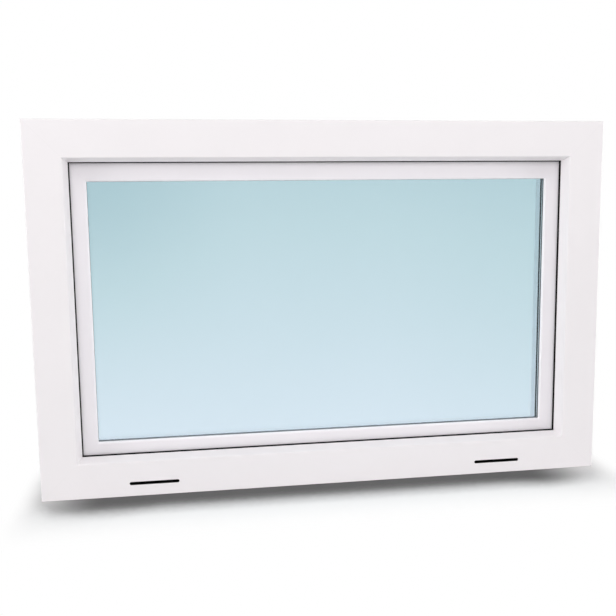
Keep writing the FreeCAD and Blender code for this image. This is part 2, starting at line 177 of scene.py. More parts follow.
class Bench:
    """A node tree in the making."""

    def __init__(self, tree: bpy.types.NodeTree) -> None:
        """Clears the tree for its own nodes."""
        self.tree = tree
        tree.nodes.clear()

    def node(
        self,
        kind: str,
        settings: Mapping[str, Any] | None = None,
        sockets: Mapping[int | str, Any] | None = None,
        output: int | str = 0,
    ) -> Wire:
        """Adds a node.

        Args:
            kind: Type of the node.
            settings: Its own properties, set first; stops are those of a ramp.
            sockets: Values or wires of its inputs.
            output: The output to give back.

        Returns:
            That output.
        """
        made = self.tree.nodes.new(kind)
        for key, value in (settings or {}).items():
            if key == "stops":
                self.set_stops(made.color_ramp, value)
            else:
                setattr(made, key, value)
        for key, value in (sockets or {}).items():
            if isinstance(value, Wire):
                self.tree.links.new(value.socket, made.inputs[key])
            else:
                made.inputs[key].default_value = value
        return Wire(self, made.outputs[output] if made.outputs else None)

    @staticmethod
    def set_stops(ramp: bpy.types.ColorRamp, stops: Sequence[tuple[float, Colour]]) -> None:
        """Gives a ramp its stops.

        Args:
            ramp: The ramp.
            stops: Place and colour of each, from left to right.
        """
        while len(ramp.elements) < len(stops):
            ramp.elements.new(1.0)
        for element, (place, colour) in zip(ramp.elements, stops):
            element.position = place
            element.color = colour

    def position(self) -> tuple[Wire, Wire, Wire]:
        """Reads where a point lies in the window's frame.

        Returns:
            Its X, Y and Z in metres.
        """
        place = self.node("ShaderNodeTexCoord", output="Object")
        split = self.node("ShaderNodeSeparateXYZ", sockets={0: place})
        return split, split.other(1), split.other(2)

    def vector(self, x: Term, y: Term, z: Term) -> Wire:
        """Joins three values to a vector."""
        return self.node("ShaderNodeCombineXYZ", sockets={0: x, 1: y, 2: z})

    def noise(self, scale: float, detail: float, place: Wire | None = None) -> Wire:
        """Adds a noise texture.

        Args:
            scale: Grains to the metre.
            detail: Octaves.
            place: Where it is read; the Object coordinates if none.

        Returns:
            A value about 0.5.
        """
        if place is None:
            place = self.node("ShaderNodeTexCoord", output="Object")
        return self.node(
            "ShaderNodeTexNoise",
            sockets={"Vector": place, "Scale": scale, "Detail": detail})

    def mix(self, factor: Term, first: Wire | Colour, second: Wire | Colour) -> Wire:
        """Mixes two colours."""
        # Inputs 6 and 7 and output 2 of this node are its colours.
        return self.node(
            "ShaderNodeMix", {"data_type": "RGBA"}, {0: factor, 6: first, 7: second}, output=2)

    def blend(self, factor: Term, first: Wire, second: Wire) -> Wire:
        """Mixes two shaders."""
        return self.node("ShaderNodeMixShader", sockets={0: factor, 1: first, 2: second})

    def bump(self, height: Wire, distance: float, strength: float) -> Wire:
        """Turns a height into a normal.

        Args:
            height: Height from 0 to 1.
            distance: What a height of 1 stands for, in metres.
            strength: Share of the bump that is used.

        Returns:
            The normal.
        """
        return self.node(
            "ShaderNodeBump",
            sockets={"Height": height, "Distance": distance, "Strength": strength})

    def seen(self) -> Wire:
        """Picks the rays that show the surroundings to the eye.

        Returns:
            1 for those rays and 0 for the others.
        """
        camera = self.node("ShaderNodeLightPath", output="Is Camera Ray")
        glossy = camera.other("Is Glossy Ray")
        through = camera.other("Is Transmission Ray")
        return camera.most(glossy).most(through)


def grey(level: float) -> Colour:
    """Gives a linear grey."""
    return (level, level, level, 1.0)


# Finishes

class Finish:
    """A surface finish, which makes its material once."""

    label: str

    def shade(self, bench: Bench) -> Wire:
        """Adds the nodes and gives the shader."""
        raise NotImplementedError

    def material(self) -> bpy.types.Material:
        """Makes the material at the first call and finds it at later ones.

        Returns:
            The material.
        """
        ready = bpy.data.materials.get(self.label)
        if ready is not None:
            return ready
        made = bpy.data.materials.new(self.label)
        made.use_nodes = True
        bench = Bench(made.node_tree)
        bench.node("ShaderNodeOutputMaterial", sockets={"Surface": self.shade(bench)})
        return made


@dataclass(frozen=True)
class WhitePlastic(Finish):
    """Welded white profile: die lines along it, a hairline at each mitre, and a dark core."""

    label: str
    tone: Colour
    middle: float
    half_width: float = 400 * MM
    half_height: float = 255 * MM
    roughness: float = 0.25
    specular: float = 0.45
    relief: Pair = (0.06 * MM, 0.5)
    line_scale: float = 700
    line_height: float = 0.25
    line_roughness: float = 0.04
    smear_scale: float = 38
    smear_height: float = 0.15
    smear_roughness: float = 0.07
    cloud_scale: float = 5
    cloud_span: Pair = (0.3, 0.7)
    cloud_shade: float = 0.985
    seam: float = 0.35 * MM
    seam_depth: float = 0.4
    seam_shade: float = 0.95
    core: bool = False
    core_tone: Colour = grey(0.012)
    core_across: Pair = (4 * MM, 28.6 * MM)
    core_depth: Pair = (-29.5 * MM, 28.6 * MM)

    def shade(self, bench: Bench) -> Wire:
        """Adds the nodes of the plastic.

        Args:
            bench: The tree that takes them.

        Returns:
            The shader.
        """
        x, y, z = bench.position()
        from_side = self.half_width - abs(x)
        from_end = self.half_height - abs(z - self.middle)
        across = from_side.least(from_end)
        mitre = 1 - (abs(from_side - from_end) / math.sqrt(2)).rise(0, self.seam)
        lines = bench.noise(self.line_scale, 3, bench.vector(across, y, 0.0))
        cloud = bench.noise(self.cloud_scale, 3)
        smears = bench.noise(self.smear_scale, 4)
        pale = bench.mix(cloud.rise(*self.cloud_span), self.dull(self.cloud_shade), self.tone)
        colour = bench.mix(mitre, pale, self.dull(self.seam_shade))
        if self.core:
            inside = across.within(*self.core_across) * y.within(*self.core_depth)
            colour = bench.mix(inside, colour, self.core_tone)
        uneven = smears * self.smear_roughness + lines * self.line_roughness
        height = lines * self.line_height + smears * self.smear_height - mitre * self.seam_depth
        return bench.node("ShaderNodeBsdfPrincipled", sockets={
            "Base Color": colour,
            "Roughness": self.roughness + uneven,
            "Specular IOR Level": self.specular,
            "Normal": bench.bump(height, *self.relief)})

    def dull(self, share: float) -> Colour:
        """Gives the tone at that share of its brightness."""
        return tuple(part * share for part in self.tone[:3]) + (1.0,)


@dataclass(frozen=True)
class Rubber(Finish):
    """Black extruded seal with a dry bloom in places."""

    label: str
    tone: Colour = grey(0.004)
    bloom: Colour = grey(0.009)
    bloom_scale: float = 45
    bloom_span: Pair = (0.4, 0.75)
    bloom_roughness: float = 0.2
    roughness: float = 0.55
    specular: float = 0.05
    grain_scale: float = 1600
    relief: Pair = (0.05 * MM, 0.4)

    def shade(self, bench: Bench) -> Wire:
        """Adds the nodes of the rubber.

        Args:
            bench: The tree that takes them.

        Returns:
            The shader.
        """
        cloud = bench.noise(self.bloom_scale, 3)
        grain = bench.noise(self.grain_scale, 2)
        return bench.node("ShaderNodeBsdfPrincipled", sockets={
            "Base Color": bench.mix(cloud.rise(*self.bloom_span), self.tone, self.bloom),
            "Roughness": self.roughness + cloud * self.bloom_roughness,
            "Specular IOR Level": self.specular,
            "Normal": bench.bump(grain, *self.relief)})


@dataclass(frozen=True)
class TintedGlass(Finish):
    """Tinted pane whose tint carries a painted reflection: paler downwards and deeper in the top
    left corner and towards the right.
    """

    label: str
    deep: Colour
    middle: Colour
    pale: Colour
    low: float
    high: float
    half_width: float
    top_level: float = 0.253
    downward_gain: float = 0.754
    corner_reach: Pair = (0.36, 0.87)
    corner_loss: float = 0.31
    right_start: float = 0.58
    right_loss: float = 0.106
    ripple_scale: float = 7
    ripple_share: float = 0.05
    middle_place: float = 0.4
    ior: float = 1.45
    shadow_tint: Colour = (0.94, 0.955, 0.96, 1.0)

    def shade(self, bench: Bench) -> Wire:
        """Adds the nodes of the glass, which lets shadow rays through.

        Args:
            bench: The tree that takes them.

        Returns:
            The shader.
        """
        tint = bench.node(
            "ShaderNodeValToRGB",
            {"stops": ((0.0, self.deep), (self.middle_place, self.middle), (1.0, self.pale))},
            {"Fac": self.fade(bench)})
        glass = bench.node("ShaderNodeBsdfPrincipled", sockets={
            "Base Color": tint,
            "Roughness": 0.0,
            "IOR": self.ior,
            "Transmission Weight": 1.0})
        clear = bench.node("ShaderNodeBsdfTransparent", sockets={"Color": self.shadow_tint})
        shadow = bench.node("ShaderNodeLightPath", output="Is Shadow Ray")
        return bench.blend(shadow, glass, clear)

    def fade(self, bench: Bench) -> Wire:
        """Works out the painted reflection in the tint: how pale it is over the pane.

        Args:
            bench: The tree that takes the nodes.

        Returns:
            0 where the tint is deep, 1 where it is pale.
        """
        # Painted reflection: the tint grows paler downwards and deeper in the top left corner and
        # towards the right.
        x, _, z = bench.position()
        along = (x + self.half_width) / (2 * self.half_width)
        down = (self.high - z) / (self.high - self.low)
        corner_along, corner_down = self.corner_reach
        corner = (1 - along.rise(0.0, corner_along)) * (1 - down.rise(0.0, corner_down))
        right = along.rise(self.right_start, 1.0)
        ripple = bench.noise(self.ripple_scale, 2) - 0.5
        level = self.top_level + down * self.downward_gain + ripple * self.ripple_share
        return level - corner * self.corner_loss - right * self.right_loss


@dataclass(frozen=True)
class SpacerMetal(Finish):
    """Rolled aluminium, drawn lengthways, with painted shade on the floors of its vents."""

    label: str = "spacer_aluminium"
    middle: float = 251.4 * MM
    half_width: float = 334 * MM
    half_height: float = 189 * MM
    vent_floor: Pair = (6.2 * MM, 7.2 * MM)
    vent_shade: Colour = grey(0.03)
    tone: Colour = (0.80, 0.81, 0.82, 1.0)
    dark: Colour = (0.62, 0.63, 0.65, 1.0)
    metallic: float = 0.5
    roughness: float = 0.38
    line_scale: float = 2600
    line_share: float = 0.6
    cloud_scale: float = 30
    cloud_share: float = 0.4
    cloud_roughness: float = 0.12
    relief: Pair = (0.03 * MM, 0.4)

    def shade(self, bench: Bench) -> Wire:
        """Adds the nodes of the metal.

        Args:
            bench: The tree that takes them.

        Returns:
            The shader.
        """
        x, y, z = bench.position()
        across = (self.half_width - abs(x)).least(self.half_height - abs(z - self.middle))
        lines = bench.noise(self.line_scale, 2, bench.vector(y, 0.0, 0.0))
        cloud = bench.noise(self.cloud_scale, 2)
        streaks = lines * self.line_share + cloud * self.cloud_share
        rolled = bench.mix(streaks, self.dark, self.tone)
        # The vent floors are painted near black as the shade inside the holes.
        return bench.node("ShaderNodeBsdfPrincipled", sockets={
            "Base Color": bench.mix(across.rise(*self.vent_floor), self.vent_shade, rolled),
            "Metallic": self.metallic,
            "Roughness": self.roughness + cloud * self.cloud_roughness,
            "Normal": bench.bump(lines, *self.relief)})


@dataclass(frozen=True)
class PowderCoat(Finish):
    """White coat on metal with a fine orange peel."""

    label: str
    tone: Colour = (0.80, 0.80, 0.80, 1.0)
    worn: Colour = (0.74, 0.74, 0.735, 1.0)
    roughness: float = 0.30
    cloud_scale: float = 24
    cloud_span: Pair = (0.35, 0.7)
    cloud_roughness: float = 0.1
    peel_scale: float = 900
    relief: Pair = (0.04 * MM, 0.5)

    def shade(self, bench: Bench) -> Wire:
        """Adds the nodes of the coat.

        Args:
            bench: The tree that takes them.

        Returns:
            The shader.
        """
        peel = bench.noise(self.peel_scale, 2)
        cloud = bench.noise(self.cloud_scale, 3)
        return bench.node("ShaderNodeBsdfPrincipled", sockets={
            "Base Color": bench.mix(cloud.rise(*self.cloud_span), self.tone, self.worn),
            "Roughness": self.roughness + cloud * self.cloud_roughness,
            "Normal": bench.bump(peel, *self.relief)})


@dataclass(frozen=True)
class PlatedSteel(Finish):
    """Zinc plate with fine turning marks."""

    label: str
    tone: Colour = (0.62, 0.62, 0.60, 1.0)
    dull: Colour = (0.47, 0.47, 0.46, 1.0)
    roughness: float = 0.26
    cloud_scale: float = 260
    cloud_span: Pair = (0.35, 0.7)
    cloud_roughness: float = 0.18
    mark_scale: float = 3000
    relief: Pair = (0.02 * MM, 0.3)

    def shade(self, bench: Bench) -> Wire:
        """Adds the nodes of the plate.

        Args:
            bench: The tree that takes them.

        Returns:
            The shader.
        """
        cloud = bench.noise(self.cloud_scale, 3)
        marks = bench.noise(self.mark_scale, 2)
        return bench.node("ShaderNodeBsdfPrincipled", sockets={
            "Base Color": bench.mix(cloud.rise(*self.cloud_span), self.tone, self.dull),
            "Metallic": 1.0,
            "Roughness": self.roughness + cloud * self.cloud_roughness,
            "Normal": bench.bump(marks, *self.relief)})


FRAME_WHITE = WhitePlastic("frame_white", (0.87, 0.835, 0.85, 1), 255 * MM, core=True)
# The sash and bead whites are paler copies of the frame's white: painted light against the shade
# of their recess.
SASH_WHITE = WhitePlastic("sash_white", (0.90, 0.866, 0.90, 1), 251.4 * MM)
BEAD_WHITE = WhitePlastic("bead_white", (0.90, 0.87, 0.89, 1), 251.4 * MM, seam_shade=0.45)
SEAL_BLACK = Rubber("seal_black")
BUTYL_BLACK = Rubber("butyl_black", roughness=0.75)
SPACER_GREY = SpacerMetal()
HANDLE_WHITE = PowderCoat("handle_white")
HINGE_WHITE = PowderCoat("hinge_white", roughness=0.34)
PIN_STEEL = PlatedSteel("pin_steel")
SCREW_STEEL = PlatedSteel("screw_steel", (0.66, 0.65, 0.62, 1.0))


# Mesh work

def edges_of(verts: Iterable[BMVert]) -> list[BMEdge]:
    """Gives each edge at the vertices once, always in the same order."""
    return list(dict.fromkeys(edge for vert in verts for edge in vert.link_edges))


class Form:
    """A mesh in the making, in metres in the window's frame."""

    def __init__(self) -> None:
        """Starts with nothing."""
        self.mesh = bmesh.new()

    def ring(self, section: Sequence[Pair], low: Vector, high: Vector) -> None:
        """Runs a closed section round a standing rectangle, mitred at its corners.

        Args:
            section: Points as distance in from the rectangle and depth.
            low: Lowest corner of the rectangle.
            high: Highest corner of the rectangle.
        """
        middle = (low + high) / 2
        half = (high - low) / 2
        inset, depth = section[0]
        stand = Matrix.Rotation(math.pi / 2, 4, "X") @ Matrix.Rotation(math.pi / 4, 4, "Z")
        size = Matrix.Diagonal((half.x - inset, 1.0, half.z - inset, 1.0))
        place = Matrix.Translation((middle.x, depth, middle.z))
        verts = bmesh.ops.create_circle(
            self.mesh, segments=4, radius=math.sqrt(2), matrix=place @ size @ stand)["verts"]
        edges = edges_of(verts)
        for new_inset, new_depth in (*section[1:], section[0]):
            made = bmesh.ops.extrude_edge_only(self.mesh, edges=edges)["geom"]
            edges = [part for part in made if isinstance(part, BMEdge)]
            verts = [part for part in made if isinstance(part, BMVert)]
            wider = (half.x - new_inset) / (half.x - inset)
            taller = (half.z - new_inset) / (half.z - inset)
            bmesh.ops.scale(
                self.mesh, verts=verts, vec=(wider, 1.0, taller),
                space=Matrix.Translation(-middle))
            bmesh.ops.translate(self.mesh, verts=verts, vec=Y_AXIS * (new_depth - depth))
            inset, depth = new_inset, new_depth
        bmesh.ops.remove_doubles(self.mesh, verts=self.mesh.verts, dist=MERGE)
        self.mesh.normal_update()

    def block(self, low: Vector, high: Vector) -> list[BMVert]:
        """Adds a block and gives its vertices."""
        place = Matrix.Translation((low + high) / 2) @ Matrix.Diagonal((*(high - low), 1.0))
        return bmesh.ops.create_cube(self.mesh, size=1.0, matrix=place)["verts"]

    def plate(self, size: Pair, centre: Vector, corner: float) -> BMFace:
        """Adds a standing rectangle with round corners.

        Args:
            size: Width along X and height along Z.
            centre: Its middle.
            corner: Radius of the corners.

        Returns:
            The face.
        """
        stand = Matrix.Rotation(math.pi / 2, 4, "X")
        place = Matrix.Translation(centre) @ stand @ Matrix.Diagonal((*size, 1.0, 1.0))
        made = bmesh.ops.create_grid(self.mesh, x_segments=1, y_segments=1, size=0.5, matrix=place)
        done = bmesh.ops.bevel(
            self.mesh, geom=made["verts"], offset=corner, segments=6, profile=0.5,
            affect="VERTICES", material=-1)
        faces = {face for vert in done["verts"] for face in vert.link_faces}
        return max(faces, key=lambda face: face.calc_area())

    def pull(self, face: BMFace, move: Vector) -> BMFace:
        """Extrudes a face.

        Args:
            face: The face.
            move: How far and which way.

        Returns:
            The face at the new end.
        """
        made = bmesh.ops.extrude_face_region(self.mesh, geom=[face, *face.edges])["geom"]
        verts = [part for part in made if isinstance(part, BMVert)]
        bmesh.ops.translate(self.mesh, verts=verts, vec=move)
        return next(part for part in made if isinstance(part, BMFace))

    def soften(self, edges: Iterable[BMEdge], offset: float, segments: int = 3) -> None:
        """Rounds edges.

        Args:
            edges: The edges.
            offset: Distance from the edge at which the round starts.
            segments: Facets of the round.
        """
        bmesh.ops.bevel(
            self.mesh, geom=list(edges), offset=offset, segments=segments, profile=0.5,
            affect="EDGES", material=-1)

    def lathe(
        self,
        outline: Sequence[Pair],
        origin: Vector,
        axis: Vector,
        steps: int = 32,
        closed: bool = False,
    ) -> None:
        """Turns an outline about an axis.

        Args:
            outline: Points as distance along the axis and radius.
            origin: Point on the axis at which the distance is 0.
            axis: Direction of the axis.
            steps: Facets of the turn.
            closed: Whether the last point joins the first, for a tube.
        """
        radial = axis.orthogonal().normalized()
        verts = [self.mesh.verts.new(origin + axis * s + radial * r) for s, r in outline]
        pairs = list(zip(verts, verts[1:]))
        if closed:
            pairs.append((verts[-1], verts[0]))
        edges = [self.mesh.edges.new(pair) for pair in pairs]
        bmesh.ops.spin(
            self.mesh, geom=[*verts, *edges], cent=origin, axis=axis, angle=math.tau,
            steps=steps, use_merge=True)

    def piece(
        self,
        name: str,
        finish: Finish,
        stands_for: Sequence[str] = (),
        smooth: float = 35.0,
    ) -> None:
        """Makes the finished piece and uses the mesh up.

        Args:
            name: Name of the piece.
            finish: Its finish.
            stands_for: CAD nodes that it replaces.
            smooth: Angle between faces below which they shade as one, in degrees.
        """
        bmesh.ops.remove_doubles(self.mesh, verts=self.mesh.verts, dist=MERGE)
        bmesh.ops.recalc_face_normals(self.mesh, faces=self.mesh.faces)
        mesh = bpy.data.meshes.new(name)
        self.mesh.to_mesh(mesh)
        self.mesh.free()
        mesh.materials.append(finish.material())
        mesh.shade_smooth()
        mesh.set_sharp_from_angle(angle=math.radians(smooth))
        made = bpy.data.objects.new(name, mesh)
        bpy.context.scene.collection.objects.link(made)
        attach(made, "root")
        if stands_for:
            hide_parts(*stands_for)
        LOG.info("built %s", name)


def dress(finish: Finish, *nodes: str) -> None:
    """Gives CAD nodes their finish.

    Args:
        finish: The finish.
        nodes: Names of the nodes.
    """
    for name in nodes:
        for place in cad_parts[name].material_slots:
            place.material = finish.material()
        LOG.info("dressed %s", name)


# Sub-assemblies

@dataclass
class OuterFrame:
    """The four welded frame members and the seal behind their lip."""

    members: tuple[str, ...] = ("sill", "head", "left_jamb", "right_jamb")

    def build(self) -> None:
        """Dresses the members and the seal."""
        dress(FRAME_WHITE, *(f"frame_{member}" for member in self.members))
        dress(SEAL_BLACK, "frame_seal")


@dataclass
class Sash:
    """The four welded sash members, their seal and the glazing beads."""

    members: tuple[str, ...] = ("bottom_rail", "top_rail", "left_stile", "right_stile")
    sides: tuple[str, ...] = ("bottom", "top", "left", "right")

    def build(self) -> None:
        """Dresses the members, the beads and the seal."""
        dress(SASH_WHITE, *(f"sash_{member}" for member in self.members))
        dress(BEAD_WHITE, *(f"glazing_bead_{side}" for side in self.sides))
        dress(SEAL_BLACK, "sash_seal")


@dataclass
class Glazing:
    """Two panes, the spacer bar between them and the gaskets at both faces."""

    bar_reach: float = 8.2 * MM
    shoulder: float = 0.9 * MM
    butyl: float = 0.9 * MM
    butyl_setback: float = 0.3 * MM
    vent_pitch: float = 3.3 * MM
    vent_margin: float = 0.7 * MM
    vent_depth: float = 2.4 * MM
    deep: Colour = (0.635, 0.764, 0.801, 1.0)
    middle: Colour = (0.716, 0.829, 0.862, 1.0)
    pale: Colour = (0.821, 0.894, 0.945, 1.0)

    def build(self) -> None:
        """Dresses the panes and gaskets, and builds the spacer bar and its sealant."""
        low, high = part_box("outer_glass_pane")
        glass = TintedGlass(
            "tinted_glass", self.deep, self.middle, self.pale, low.z, high.z, high.x)
        dress(glass, "outer_glass_pane", "inner_glass_pane")
        dress(SEAL_BLACK, "outer_glazing_gasket", "inner_glazing_gasket")
        self.spacer_bar()
        self.sealant()

    def spacer_bar(self) -> None:
        """Builds the bar with its shoulders and the row of vents in its inner face."""
        low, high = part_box("spacer_frame")
        front, back = low.y + self.butyl, high.y - self.butyl
        reach = self.bar_reach
        form = Form()
        form.ring((
            (0.0, front),
            (reach - self.shoulder, front),
            (reach, front + self.shoulder),
            (reach, back - self.shoulder),
            (reach - self.shoulder, back),
            (0.0, back)), low, high)
        self.vents(form, low, high)
        form.piece("spacer_bar", SPACER_GREY, ["spacer_frame"])

    def vents(self, form: Form, low: Vector, high: Vector) -> None:
        """Sinks the vents into the inner face of the bar.

        Args:
            form: The bar.
            low: Lowest corner of the spacer.
            high: Highest corner of the spacer.
        """
        mesh = form.mesh
        middle = (low + high) / 2
        for face in self.inner_faces(form, low, high):
            long_edges = sorted(face.edges, key=lambda edge: edge.calc_length())[2:]
            cuts = round(long_edges[0].calc_length() / self.vent_pitch) - 1
            bmesh.ops.subdivide_edges(mesh, edges=long_edges, cuts=cuts, use_grid_fill=True)
        cells = self.inner_faces(form, low, high)
        bmesh.ops.inset_individual(
            mesh, faces=cells, thickness=self.vent_margin, use_even_offset=True)
        for face in cells:
            outward = face.calc_center_median() - middle
            away = X_AXIS if abs(face.normal.x) > abs(face.normal.z) else Z_AXIS
            way = away * math.copysign(1.0, outward.dot(away))
            bmesh.ops.translate(mesh, verts=face.verts, vec=way * self.vent_depth)

    def inner_faces(self, form: Form, low: Vector, high: Vector) -> list[BMFace]:
        """Finds the faces of the bar that look at the cavity.

        Args:
            form: The bar.
            low: Lowest corner of the spacer.
            high: Highest corner of the spacer.

        Returns:
            The faces that lie as far in as the bar reaches.
        """
        least = self.bar_reach - TOUCH
        return [
            face for face in form.mesh.faces
            if all(self.inset(vert.co, low, high) > least for vert in face.verts)]

    @staticmethod
    def inset(spot: Vector, low: Vector, high: Vector) -> float:
        """Gives how far a point lies in from the spacer's outer edge."""
        return min(spot.x - low.x, high.x - spot.x, spot.z - low.z, high.z - spot.z)

    def sealant(self) -> None:
        """Builds the black line of sealant at each pane."""
        low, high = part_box("spacer_frame")
        reach = self.bar_reach - self.butyl_setback
        fronts = {"outer_sealant_line": low.y, "inner_sealant_line": high.y - self.butyl}
        for name, front in fronts.items():
            form = Form()
            form.ring((
                (0.0, front),
                (reach, front),
                (reach, front + self.butyl),
                (0.0, front + self.butyl)), low, high)
            form.piece(name, BUTYL_BLACK)


@dataclass
class Handle:
    """The lever and the rosette on the top rail."""

    height: float = 465.4 * MM
    base: float = 50 * MM
    rosette_size: Pair = (66 * MM, 28 * MM)
    rosette_depth: float = 9 * MM
    rosette_corner: float = 9 * MM
    rosette_edge: float = 2.0 * MM
    collar_radius: float = 12 * MM
    collar_depth: float = 2 * MM
    collar_foot: float = 0.5 * MM
    collar_edge: Pair = (0.2 * MM, 0.6 * MM)
    bar_size: Pair = (11 * MM, 18 * MM)
    bar_corner: float = 4.5 * MM
    bend: float = 8 * MM
    grip_face: float = 96 * MM
    reach: float = 118 * MM
    end_round: float = 3.2 * MM

    def build(self) -> None:
        """Builds the rosette and the lever."""
        self.rosette()
        self.lever()

    def rosette(self) -> None:
        """Builds the rounded plate and the stepped collar on it."""
        seat = Vector((0, self.base, self.height))
        form = Form()
        face = form.plate(self.rosette_size, seat, self.rosette_corner)
        face = form.pull(face, Y_AXIS * self.rosette_depth)
        form.soften(face.edges, self.rosette_edge, segments=4)
        foot = self.rosette_depth - self.collar_foot
        top = self.rosette_depth + self.collar_depth
        near, far = self.collar_edge
        form.lathe((
            (foot, 0.0),
            (foot, self.collar_radius),
            (top - far, self.collar_radius),
            (top - near, self.collar_radius - near),
            (top, self.collar_radius - far),
            (top, 0.0)), seat, Y_AXIS, steps=48)
        form.piece("rosette_cover", HANDLE_WHITE, ["handle_rosette"])

    def lever(self) -> None:
        """Builds the bar that leaves the collar, bends and lies along the rail."""
        thick = self.bar_size[0]
        root = self.base + self.rosette_depth + self.collar_depth
        pivot = Vector((self.bend + thick / 2, self.grip_face - thick - self.bend, self.height))
        form = Form()
        face = form.plate(self.bar_size, Vector((0, root, self.height)), self.bar_corner)
        face = form.pull(face, Y_AXIS * (pivot.y - root))
        turned = bmesh.ops.spin(
            form.mesh, geom=[face, *face.edges, *face.verts], cent=pivot, axis=-Z_AXIS,
            angle=math.pi / 2, steps=14)["geom_last"]
        face = next(part for part in turned if isinstance(part, BMFace))
        face = form.pull(face, X_AXIS * (self.reach - pivot.x))
        form.soften(face.edges, self.end_round, segments=5)
        form.piece("lever_grip", HANDLE_WHITE, ["handle_lever"], smooth=40.0)


@dataclass(frozen=True)
class ScrewHead:
    """A low round head with a cross recess."""

    radius: float = 3.6 * MM
    sunk: float = 0.6 * MM
    dome: float = 1.1 * MM
    edge: float = 0.9 * MM
    facets: int = 24
    land: float = 0.55 * MM
    recess: float = 0.9 * MM
    recess_taper: float = 0.75
    arm_half_angle: float = math.radians(20)
    notch: float = 0.38

    def add(self, form: Form, seat: Vector) -> None:
        """Adds the head to a mesh.

        Args:
            form: The mesh of the screws.
            seat: Middle of the head on the surface that it holds.
        """
        mesh = form.mesh
        turn = Matrix.Translation(seat) @ Matrix.Rotation(-math.pi / 2, 4, "X")
        lift = Matrix.Translation((0, 0, (self.dome - self.sunk) / 2))
        bmesh.ops.create_cone(
            mesh, cap_ends=True, segments=self.facets, radius1=self.radius, radius2=self.radius,
            depth=self.sunk + self.dome, matrix=turn @ lift)
        form.soften(self.top(form, seat).edges, self.edge, segments=4)
        top = self.top(form, seat)
        bmesh.ops.inset_region(mesh, faces=[top], thickness=self.land)
        self.cut_cross(top)
        floor = form.pull(top, -Y_AXIS * self.recess)
        bmesh.ops.scale(
            mesh, verts=floor.verts, vec=(self.recess_taper, 1, self.recess_taper),
            space=Matrix.Translation(-floor.calc_center_median()))

    def top(self, form: Form, seat: Vector) -> BMFace:
        """Finds the face on top of the head.

        Args:
            form: The mesh of the screws.
            seat: Where the head sits.

        Returns:
            The face.
        """
        near = [
            face for face in form.mesh.faces
            if (face.calc_center_median() - seat).length < 2 * self.radius]
        return max(near, key=lambda face: face.calc_center_median().y)

    def cut_cross(self, top: BMFace) -> None:
        """Draws the points between the arms of the cross inwards.

        Args:
            top: The round face that becomes the cross.
        """
        quarter = math.pi / 2
        centre = top.calc_center_median()
        for vert in top.verts:
            arm = vert.co - centre
            turn = math.atan2(arm.z, arm.x) % quarter
            if min(turn, quarter - turn) > self.arm_half_angle:
                vert.co = centre + arm * self.notch


